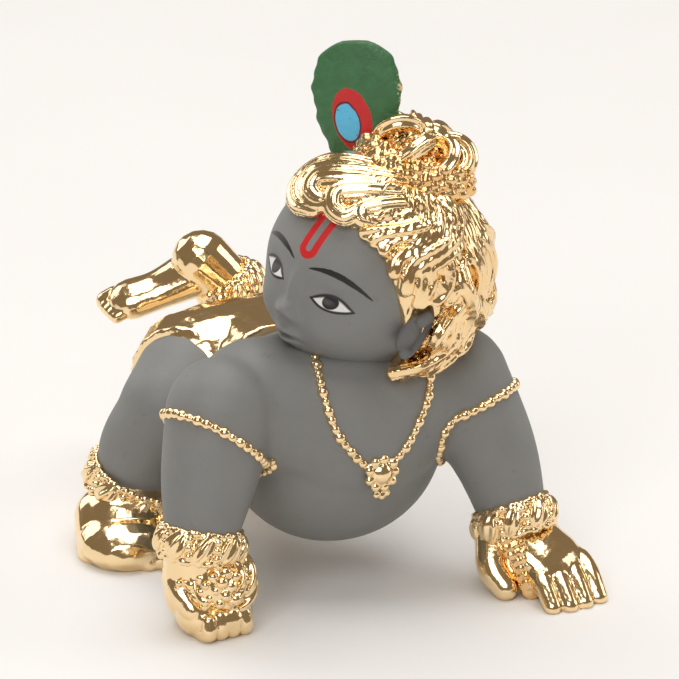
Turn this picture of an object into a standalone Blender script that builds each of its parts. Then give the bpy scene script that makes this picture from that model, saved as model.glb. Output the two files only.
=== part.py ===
"""Crawling baby Krishna (laddu gopal), a small cast figure with a feather in its hair.

The whole figure is one casting. It crawls towards -Y with +Z up, on both hands, its right
foot and its left knee, and its head is turned to its own right. Every form is drawn on a
grid of units on which the figure stands GRID_HEIGHT high, so the pose follows
FIGURE_HEIGHT. Ornaments have sizes of their own.
"""

import math

import bmesh
import bpy
import numpy as np
from mathutils import Vector
from mathutils.bvhtree import BVHTree

# Driving sizes, in metres
FIGURE_HEIGHT = 0.0664
FEATHER_LENGTH = 0.0150
FEATHER_WIDTH = 0.0106
FEATHER_THICKNESS = 0.0016
BEAD_DIAMETER = 0.0014
BANGLE_HEIGHT = 0.0040
BANGLE_THICKNESS = 0.0013
LADDU_DIAMETER = 0.0078
LOCK_WIDTH = 0.0030
DHOTI_THICKNESS = 0.0006

# The drawing grid
GRID_HEIGHT = 66.4
UNIT = FIGURE_HEIGHT / GRID_HEIGHT

# Fineness of the surface, in units, the number of triangles kept, and how much more the face keeps
BODY_VOXEL = 0.55
CAST_VOXEL = 0.36
TRIANGLES = 9700
FACE_CARE = 0.008

# Height of the ground on the drawing grid
GROUND = 0.5

GREY = (0.13, 0.13, 0.13, 1.0)


# Small tools for points, paths and turned frames

def units(length):
    """A size in metres on the drawing grid."""
    return length / UNIT


def unit(vector):
    """The vector at length one."""
    vector = np.asarray(vector, float)
    return vector / np.linalg.norm(vector)


def through(stations, per_span=6):
    """A smooth curve through stations, each a point and whatever sizes follow it."""
    p = np.asarray(stations, float)
    p = np.vstack([2 * p[0] - p[1], p, 2 * p[-1] - p[-2]])
    t = np.linspace(0.0, 1.0, per_span, endpoint=False)[:, None]
    spans = []
    for a, b, c, d in zip(p, p[1:], p[2:], p[3:]):
        spans.append(
            b
            + 0.5 * t * (c - a)
            + t**2 * (a - 2.5 * b + 2 * c - 0.5 * d)
            + t**3 * (1.5 * b - 0.5 * a - 1.5 * c + 0.5 * d)
        )
    return np.vstack([*spans, p[-2:-1]])


def frames_along(points, up):
    """For each point of a path, its side and up directions, turned as little as possible."""
    tangents = np.gradient(points, axis=0)
    tangents /= np.linalg.norm(tangents, axis=1)[:, None]
    ups = []
    current = np.asarray(up, float)
    for tangent in tangents:
        current = unit(current - tangent * (current @ tangent))
        ups.append(current)
    ups = np.array(ups)
    return np.cross(tangents, ups), ups, tangents


def unit_ball():
    """The points and the faces of a ball of radius one."""
    bm = bmesh.new()
    bmesh.ops.create_uvsphere(bm, u_segments=16, v_segments=10, radius=1)
    points = np.array([vert.co for vert in bm.verts])
    faces = [[vert.index for vert in face.verts] for face in bm.faces]
    bm.free()
    return points, faces


BALL_POINTS, BALL_FACES = unit_ball()


class Clay:
    """Closed shells that overlap, waiting to be fused into one surface."""

    def __init__(self):
        self.bm = bmesh.new()

    def add_rings(self, rings):
        """A closed skin over rings of points, with a flat cap on each end."""
        rows = [[self.bm.verts.new(p * UNIT) for p in ring] for ring in rings]
        for low, high in zip(rows, rows[1:]):
            for i in range(len(low)):
                j = (i + 1) % len(low)
                self.bm.faces.new((low[i], low[j], high[j], high[i]))
        self.bm.faces.new(rows[0][::-1])
        self.bm.faces.new(rows[-1])

    def add_points(self, points, faces):
        verts = [self.bm.verts.new(p * UNIT) for p in points]
        for face in faces:
            self.bm.faces.new([verts[i] for i in face])

    def ball(self, centre, radii, axes=None):
        """An ellipsoid. Its axes are the rows of a 3 x 3 array, or the world's own."""
        axes = np.eye(3) if axes is None else np.asarray(axes)
        self.add_points((BALL_POINTS * np.broadcast_to(radii, 3)) @ axes + np.asarray(centre, float), BALL_FACES)

    def cap(self, centre, radius, normal, reach):
        """A ball pressed flat where it would pass reach along normal from its centre."""
        beyond = np.maximum(0.0, BALL_POINTS @ normal * radius - reach)
        points = BALL_POINTS * radius - beyond[:, None] * normal + centre
        self.add_points(points, BALL_FACES)

    def limb(self, stations, up=(0, 0, 1), flat=1.0, sides=16, round_ends=True):
        """A round or flattened limb through stations of x, y, z and radius.

        flat is its thickness along up as a share of its width."""
        path = through(stations)
        points, radii = path[:, :3], path[:, 3]
        side, over, along = frames_along(points, up)
        if round_ends:
            turns = np.radians([80, 55, 28])
            head = [(points[0] - along[0] * radii[0] * math.sin(a), radii[0] * math.cos(a), 0) for a in turns]
            tail = [(points[-1] + along[-1] * radii[-1] * math.sin(a), radii[-1] * math.cos(a), -1)
                    for a in turns[::-1]]
        else:
            head, tail = [], []
        body = [(p, r, i) for i, (p, r) in enumerate(zip(points, radii))]
        angles = np.arange(sides) / sides * math.tau
        rings = []
        for point, radius, i in head + body + tail:
            across = np.cos(angles)[:, None] * side[i]
            rise = flat * np.sin(angles)[:, None] * over[i]
            rings.append(point + radius * (across + rise))
        self.add_rings(rings)

    def fuse(self, name, voxel, smoothing):
        """The shells as one mesh object, remeshed on a grid of voxel units and smoothed."""
        bmesh.ops.recalc_face_normals(self.bm, faces=self.bm.faces)
        mesh = bpy.data.meshes.new(name)
        self.bm.to_mesh(mesh)
        obj = bpy.data.objects.new(name, mesh)
        bpy.context.scene.collection.objects.link(obj)
        remesh = obj.modifiers.new("Fuse", "REMESH")
        remesh.mode = "VOXEL"
        remesh.voxel_size = voxel * UNIT
        if smoothing:
            smooth = obj.modifiers.new("Blend", "SMOOTH")
            smooth.factor = 0.5
            smooth.iterations = smoothing
        return obj


def evaluated_mesh(obj):
    """The object's mesh with its modifiers applied."""
    bpy.context.view_layer.update()
    graph = bpy.context.evaluated_depsgraph_get()
    return bpy.data.meshes.new_from_object(obj.evaluated_get(graph))


# The pose, in units: x to the figure's left, y to its back, z up

SHOULDER_RIGHT = (-15.0, -2.0, 25.5)
SHOULDER_LEFT = (15.8, -4.0, 24.5)
ELBOW_RIGHT = (-18.0, -4.2, 18.0)
ELBOW_LEFT = (18.8, -8.4, 16.0)
WRIST_RIGHT = (-19.8, -5.2, 10.6)
WRIST_LEFT = (19.6, -12.4, 8.0)
HIP_RIGHT = (-3.0, 26.0, 19.5)
HIP_LEFT = (9.5, 27.0, 18.5)
KNEE_RIGHT = (-11.2, 19.5, 18.4)
KNEE_LEFT = (17.5, 33.0, 5.9)
SHIN_RIGHT = (-14.2, 21.2, 13.0)
SHIN_LEFT = (13.5, 37.0, 16.0)
ANKLE_RIGHT = (-14.0, 22.4, 7.4)
ANKLE_LEFT = (8.1, 38.8, 24.9)
HEAD = np.array((5.2, -1.6, 40.0))
HEAD_RADIUS = 12.9
HAIR_RADIUS = 13.1


def head_axes():
    """The head's own side, forward and up directions: it looks to its right and leans back."""
    turn = math.radians(74)
    lean = math.radians(21)
    lean_to = np.array((0.866, -0.5, 0.0))
    up = unit(np.array((0, 0, 1.0)) * math.cos(lean) + lean_to * math.sin(lean))
    forward = np.array((-math.sin(turn), -math.cos(turn), 0.0))
    forward = unit(forward - up * (forward @ up))
    return np.array((np.cross(up, forward), forward, up))


SIDE, FORWARD, UP = head_axes()


def in_head(side, forward, up):
    """A point of the head, from its centre, in head radii."""
    return HEAD + HEAD_RADIUS * (side * SIDE + forward * FORWARD + up * UP)


def on_head(theta, phi, radius):
    """A point over the head: theta degrees down from its crown and phi degrees round from its face."""
    theta, phi = math.radians(theta), math.radians(phi)
    across = math.sin(theta) * (math.cos(phi) * FORWARD + math.sin(phi) * SIDE)
    return HEAD + radius * (across + math.cos(theta) * UP)


# The face: centre across and up, width across and up, and height forward, all in head radii.
# Features across from each other are listed once. They stand on the quarter lines that a
# drawing book gives for a small child.
FACE_FORMS = (
    (0.00, -0.78, 0.42, 0.30, 0.130),
    (0.00, 0.10, 0.60, 0.30, 0.030),
    (0.36, -0.17, 0.18, 0.12, -0.100),
    (0.36, -0.21, 0.14, 0.085, 0.075),
    (0.00, -0.20, 0.07, 0.16, 0.070),
    (0.00, -0.43, 0.10, 0.080, 0.140),
    (0.11, -0.47, 0.060, 0.05, 0.065),
    (0.42, -0.52, 0.22, 0.19, 0.100),
    (0.00, -0.66, 0.22, 0.10, 0.050),
    (0.00, -0.635, 0.14, 0.035, 0.050),
    (0.00, -0.685, 0.16, 0.020, -0.070),
    (0.00, -0.735, 0.11, 0.040, 0.060),
    (0.00, -0.820, 0.14, 0.035, -0.040),
    (0.00, -0.930, 0.16, 0.090, 0.100),
)
SKULL = (0.93, 0.97, 1.0)
JAW_TAPER = 0.16


def shape_head(clay):
    """The head, its face and its ears."""
    made = bmesh.ops.create_icosphere(clay.bm, subdivisions=6, radius=1)
    for vert in made["verts"]:
        side, forward, up = vert.co
        rise = 0.0
        if forward > 0:
            for across, height, wide, tall, lift in FACE_FORMS:
                for mirror in (across, -across) if across else (0.0,):
                    rise += lift * math.exp(-(((side - mirror) / wide) ** 2 + ((up - height) / tall) ** 2))
            rise *= min(1.0, forward / 0.25)
        taper = 1 - JAW_TAPER * max(0.0, -up) ** 1.6
        place = in_head(side * SKULL[0] * taper, forward * SKULL[1] * (1 + taper) / 2 + rise, up)
        vert.co = place * UNIT
    for mirror in (1, -1):
        lean = unit(UP * 0.95 - FORWARD * 0.3)
        out = unit(SIDE * mirror - FORWARD * 0.35)
        fore = np.cross(lean, out)
        clay.ball(in_head(0.90 * mirror, -0.06, -0.26), (1.0, 2.0, 3.2), (out, fore, lean))
        rim = [(*(in_head(0.97 * mirror, -0.06, -0.26) + fore * mirror * 2.0 * math.cos(a)
                  + lean * 3.0 * math.sin(a)), 0.75) for a in np.radians((-100, -50, 0, 50, 100, 140))]
        clay.limb(rim, up=out, sides=8)


def shape_torso(clay):
    clay.limb([(-9, 0, 24.8, 8.0), (1.5, -1.5, 22.5, 10.8), (11, -2.5, 23.0, 8.2)])
    clay.ball((2.3, 1.6, 17.5), (13.8, 11.8, 12.5))
    clay.ball((2.6, -1.0, 21.0), (12.8, 11.2, 10.6))
    clay.limb([(2, 6, 18.5, 9.6), (2.5, 15, 18.2, 8.4), (2.5, 24, 18.8, 8.6)])
    clay.limb([(-2, 25, 19.0, 8.4), (7, 25, 19.0, 8.4)])
    clay.limb([(4, 1, 28, 6.6), (5, -1, 35, 6.0)])


def shape_limbs(clay):
    clay.limb([(*SHOULDER_RIGHT, 6.7), (*ELBOW_RIGHT, 5.7), (*WRIST_RIGHT, 4.1)])
    clay.limb([(*SHOULDER_LEFT, 6.8), (*ELBOW_LEFT, 5.4), (*WRIST_LEFT, 4.0)])
    clay.limb([(*HIP_RIGHT, 7.6), (*KNEE_RIGHT, 5.9)])
    clay.limb([(*KNEE_RIGHT, 5.5), (*SHIN_RIGHT, 5.0), (*ANKLE_RIGHT, 4.7)])
    clay.limb([(*HIP_LEFT, 7.6), (*KNEE_LEFT, 5.9)])
    clay.limb([(*KNEE_LEFT, 5.8), (*SHIN_LEFT, 4.5), (*ANKLE_LEFT, 3.2)])


def shape_flat_hand(clay):
    """The left hand, palm down, with its fingers side by side."""
    ahead = unit((-0.12, -0.99, 0))
    across = unit((0.99, -0.12, 0))
    knuckles = np.array((22.4, -17.7, 4.9))
    clay.limb([(*WRIST_LEFT, 4.1), (20.4, -14.4, 6.2, 4.4), (21.5, -16.8, 4.6, 4.3)],
              up=(0.2, -0.6, 0.8), flat=0.70)
    clay.limb([(20.0, -14.4, 4.2, 4.1), (21.2, -17.8, 2.6, 3.9)], flat=0.62)
    for step, reach in zip((-1.5, -0.5, 0.5, 1.5), (5.4, 6.0, 5.7, 4.8)):
        root = knuckles + across * step * 2.0 - np.array((0, 0, 0.12 * step**2))
        tip = root + ahead * reach
        middle = (root + tip) / 2
        clay.limb([(*(root - ahead * 1.6), 1.4), (*root, 1.5), (middle[0], middle[1], 3.2, 1.4),
                   (tip[0], tip[1], 1.3, 1.15)], sides=12)
    clay.limb([(17.0, -12.7, 5.6, 2.9), (15.7, -14.8, 3.4, 2.3), (16.0, -17.3, 1.9, 1.9)])
    for share in np.linspace(0, 1, 6):
        centre = np.array((18.4, -15.4, 6.6)) * (1 - share) + np.array((18.7, -19.4, 1.9)) * share
        clay.ball(centre, 1.35)


def shape_holding_hand(clay):
    """The right hand, its back on the ground, holding up a round sweet."""
    laddu = units(LADDU_DIAMETER) / 2
    centre = np.array((-18.4, -7.4, 2.6 + laddu))
    clay.limb([(*WRIST_RIGHT, 4.2), (-19.8, -4.9, 6.0, 4.6)])
    clay.ball((-19.2, -4.8, 4.8), (4.8, 4.2, 4.6))
    clay.ball((-20.4, -7.4, 3.0), (3.0, 3.4, 2.8))
    clay.ball(centre, laddu)
    for step, reach in zip((-1.5, -0.5, 0.5, 1.5), (2.8, 3.3, 3.5, 3.0)):
        x = centre[0] - 0.4 + step * 1.7
        front = centre[1] - laddu
        clay.limb([(x, -3.6, 1.7, 1.6), (x, front + 1.9, 1.5, 1.5), (x, front + 0.3, 2.0, 1.35),
                   (x, front + 0.5, reach, 1.15)], sides=12)
    clay.limb([(-22.0, -4.2, 7.4, 2.0), (-23.0, -5.8, 6.2, 1.9), (-22.6, -7.6, 4.6, 1.6)], sides=12)


def shape_standing_foot(clay):
    """The right foot, flat on the ground."""
    ahead = unit((-0.42, -0.91, 0))
    across = unit((-0.91, 0.42, 0))
    toes = np.array((-19.7, 14.2, 0))
    clay.limb([(*ANKLE_RIGHT, 4.8), (-17.0, 20.2, 3.9, 5.7)])
    clay.ball((-13.2, 27.0, 3.7), (4.2, 4.0, 3.8))
    clay.limb([(-19.0, 22.0, 4.4, 3.6), (-20.8, 19.0, 1.6, 3.1)])
    clay.limb([(-15.4, 24.4, 3.4, 5.0), (*(toes - ahead * 3.4)[:2], 2.8, 5.9)], flat=0.60)
    for step, size in zip((-2.1, -1.2, -0.4, 0.35, 1.05), (1.7, 1.35, 1.25, 1.2, 1.15)):
        root = toes + across * step * 2.2 - ahead * (2.3 + 0.35 * abs(step + 1.2))
        clay.limb([(*root[:2], size, size), (*(root + ahead * 2.8)[:2], size, size)], sides=12)


def shape_raised_foot(clay):
    """The left foot, kicked up behind, sole up and toes to the right."""
    sole = unit((0.25, -0.35, 0.9))
    heel = np.array((5.2, 40.8, 28.3))
    toes = np.array((-3.2, 44.2, 23.4))
    ahead = unit(toes - heel)
    across = np.cross(ahead, sole)
    clay.limb([(*ANKLE_LEFT, 3.5), (*heel, 3.9)])
    clay.limb([(*(heel + ahead * 1.0 - sole * 1.8), 3.8), (*(heel + ahead * 6.0 - sole * 1.2), 3.1),
               (*toes, 3.2)], up=sole, flat=0.72)
    for step, size in zip((-1.55, -0.6, 0.2, 0.95, 1.6), (1.35, 1.05, 1.0, 0.95, 0.85)):
        root = toes - across * step * 1.9 + ahead * 2.2 + sole * 0.4
        clay.limb([(*root, size), (*(root + ahead * (1.5 - 0.25 * abs(step + 0.8))), size)], sides=10)


def hair_lock(clay, start, end, width, wave=5.0, turns=1.5, phase=0.0, lift=0.5, curl=0.8):
    """A wavy lock over the head. start and end are theta and phi; it flicks out at its tip."""
    stations = []
    for t in np.linspace(0, 1, 9):
        theta = start[0] + (end[0] - start[0]) * t
        sway = wave * math.sin(math.tau * turns * t + phase) / max(math.sin(math.radians(theta)), 0.35)
        phi = start[1] + (end[1] - start[1]) * t + sway * min(1.0, 3 * t)
        radius = HAIR_RADIUS + lift * math.sin(math.pi * t) + curl * t**4
        size = width * (0.55 + 0.45 * math.sin(math.pi * min(1.0, 0.2 + t))) * (1 - 0.55 * t**3)
        stations.append((*on_head(theta, phi, radius), size))
    middle = on_head((start[0] + end[0]) / 2, (start[1] + end[1]) / 2, 1) - HEAD
    clay.limb(stations, up=middle, flat=0.75, sides=10)


def shape_hair(clay):
    """Wavy locks over a cap of hair, gathered into a knot tied with beads."""
    half = units(LOCK_WIDTH) / 2
    clay.cap(HEAD, HAIR_RADIUS, unit(0.85 * FORWARD - 0.52 * UP - 0.14 * SIDE), 0.28 * HAIR_RADIUS)
    clay.cap(HEAD, HAIR_RADIUS + 0.5, FORWARD, -0.28 * HAIR_RADIUS)
    for i, phi in enumerate(np.linspace(-62, 50, 10)):
        hair_lock(clay, (20, phi + 22), (50 + 5 * math.sin(1.9 * i), phi - 6), half * 1.1,
                  wave=6, turns=1.0, phase=1.1 * i, lift=0.8, curl=0.3)
    hair_lock(clay, (10, 20), (54, -66), half * 2.3, wave=3, turns=0.5, phase=0.5, lift=2.5, curl=0.2)
    hair_lock(clay, (14, 40), (60, -16), half * 1.6, wave=4, turns=0.6, phase=0.2, lift=1.2, curl=0.0)
    for i, phi in enumerate(np.linspace(58, 258, 17)):
        low = 100 if phi < 80 else 112 if phi > 250 else 136 + 7 * math.sin(2.2 * i)
        hair_lock(clay, (20, phi), (low, phi + 4), half * 1.1, wave=5, turns=0.6 + low / 70,
                  phase=1.7 * i, lift=0.6, curl=0.4)
    for i, phi in enumerate(np.linspace(66, 250, 14)):
        hair_lock(clay, (48, phi), (122 + 9 * math.sin(1.3 * i), phi + 7), half * 0.9,
                  wave=7, turns=2, phase=2.3 * i, lift=0.9, curl=0.6)


KNOT = on_head(4, 180, 13.4)


def shape_knot(clay):
    """The topknot: loops of hair over a ring of beads."""
    bead = units(BEAD_DIAMETER) / 2 * 1.25
    clay.ball(KNOT, (5.2, 5.2, 3.2), (SIDE, FORWARD, UP))
    for i in range(7):
        phi = i / 7 * 360
        loop = []
        for t in np.linspace(0, 1, 6):
            out = 1.4 + 4.2 * math.sin(math.pi * (0.15 + 0.7 * t))
            spin = math.radians(phi + 70 * t)
            across = math.cos(spin) * FORWARD + math.sin(spin) * SIDE
            loop.append((*(KNOT + out * across + (3.4 - 4.2 * t) * UP), 1.3))
        clay.limb(loop, up=UP, flat=0.8, sides=10)
    clay.ball(KNOT + 3.2 * UP, (2.2, 2.2, 1.6), (SIDE, FORWARD, UP))
    for row in (0, 1):
        for i in range(22):
            spin = (i + 0.5 * row) / 22 * math.tau
            across = math.cos(spin) * FORWARD + math.sin(spin) * SIDE
            clay.ball(KNOT + (6.2 + 0.5 * row) * across - (1.6 + 1.3 * row) * UP, bead)


def feather_half_width(t):
    """Half the feather's width at t of its length, as a share of its greatest half width."""
    swell = 0.50 + 0.50 * math.sin(math.pi / 2 * min(1.0, t / 0.6))
    return swell * math.sqrt(1 - max(0.0, (t - 0.6) / 0.4) ** 2.6)


def shape_feather(clay):
    """The feather: a thin, slightly dished leaf standing in the hair."""
    normal = unit((-math.sin(math.radians(42)), -math.cos(math.radians(42)), 0.10))
    rise = unit(np.array((0, 0, 1.0)) - normal * normal[2] - 0.08 * SIDE)
    across = np.cross(rise, normal)
    foot = KNOT - 6.3 * across + 1.0 * normal + 0.2 * rise
    length, thick = units(FEATHER_LENGTH), units(FEATHER_THICKNESS)
    rings = []
    for t in np.linspace(0.0, 0.985, 12):
        half = units(FEATHER_WIDTH) / 2 * feather_half_width(t)
        angles = np.arange(16) / 16 * math.tau
        centre = foot + rise * length * t + normal * 0.5 * math.sin(2 * t)
        rings.append(centre + half * np.cos(angles)[:, None] * across
                     + thick / 2 * np.sin(angles)[:, None] * normal * min(1.0, half))
    clay.add_rings(rings)


def shape_dhoti(clay):
    """The cloth round the hips, with a hem round each thigh."""
    more = units(DHOTI_THICKNESS)
    clay.limb([(-2, 25, 19.0, 8.4 + more), (7, 25, 19.0, 8.4 + more)])
    clay.limb([(2.5, 17.0, 18.4, 8.5 + more), (2.5, 24, 18.8, 8.6 + more)], round_ends=False, sides=24)
    for hip, knee in ((HIP_RIGHT, KNEE_RIGHT), (HIP_LEFT, KNEE_LEFT)):
        a, b = np.array(hip), np.array(knee)
        clay.limb([(*a, 7.6 + more), (*(a + (b - a) * 0.42), 7.0 + more)], round_ends=False, sides=24)


def ring_band(clay, centre, axis, radius, height, thickness, lobes):
    """A bangle: a rounded band with slanting lobes between two cords."""
    axis = unit(axis)
    side = unit(np.cross(axis, (0.3, 1, 0.2)))
    front = np.cross(axis, side)
    for i in range(lobes):
        spin = i / lobes * math.tau
        across = math.cos(spin) * side + math.sin(spin) * front
        along = math.cos(spin) * front - math.sin(spin) * side
        slant = unit(axis + 0.55 * along)
        size = 1 + 0.2 * math.sin(2.3 * i)
        clay.ball(centre + (radius + thickness * 0.35) * across,
                  (thickness * 0.85 * size, thickness * 0.75 * size, height * 0.45),
                  (across, np.cross(slant, across), slant))
    for level in (-1, 1):
        ring = []
        for i in range(25):
            spin = i / 24 * math.tau
            across = math.cos(spin) * side + math.sin(spin) * front
            middle = centre + (radius + thickness * 0.3) * across + level * height * 0.38 * axis
            ring.append((*middle, thickness * 0.42))
        clay.limb(ring, up=axis, sides=8, round_ends=False)


# Each bangle's joint, the joint it slides towards, how it leans and its radius
BANGLES = (
    (WRIST_RIGHT, ELBOW_RIGHT, (0.0, 0.0, 0.0), 4.2),
    (WRIST_LEFT, ELBOW_LEFT, (0.0, 0.0, 0.0), 4.1),
    (ANKLE_RIGHT, SHIN_RIGHT, (0.30, -0.15, 0.0), 4.9),
    (ANKLE_LEFT, SHIN_LEFT, (0.0, 0.0, 0.0), 3.4),
)


def shape_bangles(clay):
    height, thick = units(BANGLE_HEIGHT), units(BANGLE_THICKNESS)
    for joint, before, tilt, radius in BANGLES:
        axis = unit(np.array(before) - np.array(joint))
        ring_band(clay, np.array(joint) + axis * 0.4, axis + np.array(tilt), radius, height, thick, 12)


def string_beads(clay, tree, guide, size):
    """Beads side by side along guide, each brought onto the body's surface."""
    path = through(guide, 24)
    on_skin = np.array([np.array(tree.find_nearest(Vector(p * UNIT))[0]) / UNIT for p in path])
    steps = np.linalg.norm(np.diff(on_skin, axis=0), axis=1)
    run = np.concatenate([[0], np.cumsum(steps)])
    count = int(run[-1] / (size * 0.86))
    for distance in np.linspace(0, run[-1], count):
        clay.ball([np.interp(distance, run, on_skin[:, k]) for k in range(3)], size / 2)


def shape_strings(clay, tree):
    """The necklace with its pendant, and a string round each upper arm."""
    bead = units(BEAD_DIAMETER)
    necklace = [(9.0, 5.0, 33.0), (10.4, -5.6, 31.0), (7.2, -12.6, 24.0), (0.8, -14.6, 17.5),
                (-3.8, -12.0, 22.0), (-4.9, -8.2, 28.0), (-3.0, -2.0, 33.0), (0.0, 5.0, 33.0)]
    string_beads(clay, tree, necklace, bead)
    pendant = np.array(tree.find_nearest(Vector(np.array((0.8, -14.6, 17.0)) * UNIT))[0]) / UNIT
    clay.ball(pendant, 1.9)
    for shoulder, elbow, tilt in ((SHOULDER_RIGHT, ELBOW_RIGHT, -0.35), (SHOULDER_LEFT, ELBOW_LEFT, 0.0)):
        a, b = np.array(shoulder), np.array(elbow)
        axis = unit(unit(b - a) + np.array((tilt, 0, 0)))
        out = unit(np.cross(axis, (0, -1, 0)))
        front = np.cross(axis, out)
        middle = a + (b - a) * 0.42
        guide = [middle + 7.5 * (math.cos(s) * out + math.sin(s) * front) for s in np.linspace(0, math.tau, 13)]
        string_beads(clay, tree, guide, bead)


def grey_paint():
    """The matte grey paint of the skin."""
    material = bpy.data.materials.new("grey_paint")
    material.use_nodes = True
    shader = material.node_tree.nodes["Principled BSDF"]
    shader.inputs["Base Color"].default_value = GREY
    shader.inputs["Roughness"].default_value = 0.6
    shader.inputs["Metallic"].default_value = 0.0
    return material


def stand_on_ground(mesh):
    """Cut the mesh flat where it stands, and put its origin at the middle of its base."""
    bm = bmesh.new()
    bm.from_mesh(mesh)
    cut = bmesh.ops.bisect_plane(bm, geom=[*bm.verts, *bm.edges, *bm.faces], dist=0.01 * UNIT,
                                 plane_co=(0, 0, GROUND * UNIT), plane_no=(0, 0, 1), clear_inner=True)
    rim = [e for e in cut["geom_cut"] if isinstance(e, bmesh.types.BMEdge)]
    bmesh.ops.holes_fill(bm, edges=rim)
    for vert in bm.verts:
        vert.co.z = max(vert.co.z, GROUND * UNIT)
    points = np.array([vert.co for vert in bm.verts])
    low, high = points.min(axis=0), points.max(axis=0)
    middle = Vector(((low[0] + high[0]) / 2, (low[1] + high[1]) / 2, low[2]))
    bmesh.ops.translate(bm, verts=bm.verts, vec=-middle)
    bm.to_mesh(mesh)
    bm.free()


def keep_face_fine(obj):
    """Mark what may be thinned: all but the front of the head, whose forms are the finest."""
    group = obj.vertex_groups.new(name="thinned")
    for vert in obj.data.vertices:
        place = (np.array(vert.co) / UNIT - HEAD) / HEAD_RADIUS
        on_face = np.linalg.norm(place) < 1.25 and place @ FORWARD > 0.45 and place @ UP < 0.2
        group.add([vert.index], 0.1 if on_face else 1.0, "REPLACE")
    return group.name


def make_part():
    for obj in list(bpy.data.objects):
        bpy.data.objects.remove(obj)
    skin = Clay()
    shape_torso(skin)
    shape_limbs(skin)
    body = skin.fuse("idol_body", BODY_VOXEL, 12)
    body_mesh = evaluated_mesh(body)
    bpy.data.objects.remove(body)
    cast = Clay()
    cast.bm.from_mesh(body_mesh)
    tree = BVHTree.FromBMesh(cast.bm)
    shape_head(cast)
    shape_flat_hand(cast)
    shape_holding_hand(cast)
    shape_standing_foot(cast)
    shape_raised_foot(cast)
    shape_dhoti(cast)
    shape_hair(cast)
    shape_knot(cast)
    shape_feather(cast)
    shape_bangles(cast)
    shape_strings(cast, tree)
    idol = cast.fuse("idol", CAST_VOXEL, 2)
    idol.data = evaluated_mesh(idol)
    idol.modifiers.clear()
    thin = idol.modifiers.new("Thin", "DECIMATE")
    thin.vertex_group = keep_face_fine(idol)
    thin.vertex_group_factor = FACE_CARE * UNIT
    thin.ratio = TRIANGLES / (2 * len(idol.data.polygons))
    mesh = evaluated_mesh(idol)
    idol.modifiers.clear()
    stand_on_ground(mesh)
    idol.data = mesh
    mesh.materials.append(grey_paint())


make_part()
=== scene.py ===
"""Crawling laddu gopal figure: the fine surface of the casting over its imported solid.

The casting is matte grey paint on the skin, polished gold plate on the hair, cloth, hands,
feet and ornaments, and a painted feather. Every form is drawn on a grid of units on which
the figure stands GRID_HEIGHT high: x to the figure's left, y to its back, z up.
"""

from math import asin, atan2, cos, degrees, hypot, pi, radians, sin, sqrt, tau

import bmesh
import bpy
import numpy as np
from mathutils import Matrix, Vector
from mathutils.bvhtree import BVHTree


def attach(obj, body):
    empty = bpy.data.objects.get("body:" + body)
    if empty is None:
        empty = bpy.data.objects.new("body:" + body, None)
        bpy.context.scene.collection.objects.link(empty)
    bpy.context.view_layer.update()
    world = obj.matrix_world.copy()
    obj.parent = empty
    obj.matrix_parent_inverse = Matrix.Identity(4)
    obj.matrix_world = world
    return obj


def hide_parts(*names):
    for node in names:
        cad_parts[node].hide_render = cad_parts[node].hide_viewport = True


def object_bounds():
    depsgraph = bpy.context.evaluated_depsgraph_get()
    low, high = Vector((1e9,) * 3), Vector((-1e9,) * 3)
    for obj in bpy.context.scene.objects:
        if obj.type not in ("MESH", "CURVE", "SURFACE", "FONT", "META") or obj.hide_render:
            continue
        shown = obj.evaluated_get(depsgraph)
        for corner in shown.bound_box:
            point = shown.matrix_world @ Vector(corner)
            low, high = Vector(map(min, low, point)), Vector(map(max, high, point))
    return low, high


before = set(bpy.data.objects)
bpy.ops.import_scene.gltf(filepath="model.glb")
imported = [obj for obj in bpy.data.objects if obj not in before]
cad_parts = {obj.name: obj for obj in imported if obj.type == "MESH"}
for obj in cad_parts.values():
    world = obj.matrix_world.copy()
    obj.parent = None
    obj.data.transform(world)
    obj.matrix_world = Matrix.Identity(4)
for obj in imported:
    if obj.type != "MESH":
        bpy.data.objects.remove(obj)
CAD_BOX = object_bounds()

bl_info = {
    "name": "Crawling figure with a feather",
    "version": (1, 0, 0),
    "blender": (4, 5, 0),
    "location": "View3D > Sidebar > Figure",
    "description": "Builds a small crawling figure with gold plate, grey paint and a painted feather",
    "category": "Add Mesh",
}

# The drawing grid, and the place on it of the middle of the base
GRID_HEIGHT = 66.38
ORIGIN = np.array((0.740, 11.810, 0.5))
UPRIGHT = np.array((0.0, 0.0, 1.0))

# Millimetres in a metre
MM = 1000.0

# The pose, on the grid
SHOULDER_RIGHT = (-15.0, -2.0, 25.5)
SHOULDER_LEFT = (15.8, -4.0, 24.5)
ELBOW_RIGHT = (-18.0, -4.2, 18.0)
ELBOW_LEFT = (18.8, -8.4, 16.0)
WRIST_RIGHT = (-19.8, -5.2, 10.6)
WRIST_LEFT = (19.6, -12.4, 8.0)
HIP_RIGHT = (-3.0, 26.0, 19.5)
HIP_LEFT = (9.5, 27.0, 18.5)
KNEE_RIGHT = (-11.2, 19.5, 18.4)
KNEE_LEFT = (17.5, 33.0, 5.9)
SHIN_RIGHT = (-14.2, 21.2, 13.0)
SHIN_LEFT = (13.5, 37.0, 16.0)
ANKLE_RIGHT = (-14.0, 22.4, 7.4)
ANKLE_LEFT = (8.1, 38.8, 24.9)
HEAD = np.array((5.2, -1.6, 40.0))
HEAD_TURN = radians(74)
HEAD_LEAN = radians(21)
HEAD_RADIUS = 12.9
HAIR_RADIUS = 13.1
KNOT_RADIUS = 13.4
KNOT_LEAN = radians(-4)


def unit(vector):
    """The vector at length one."""
    vector = np.asarray(vector, float)
    return vector / np.linalg.norm(vector)


def turned(spin, ahead, aside):
    """The direction spin radians round from ahead towards aside."""
    return cos(spin) * ahead + sin(spin) * aside


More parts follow.
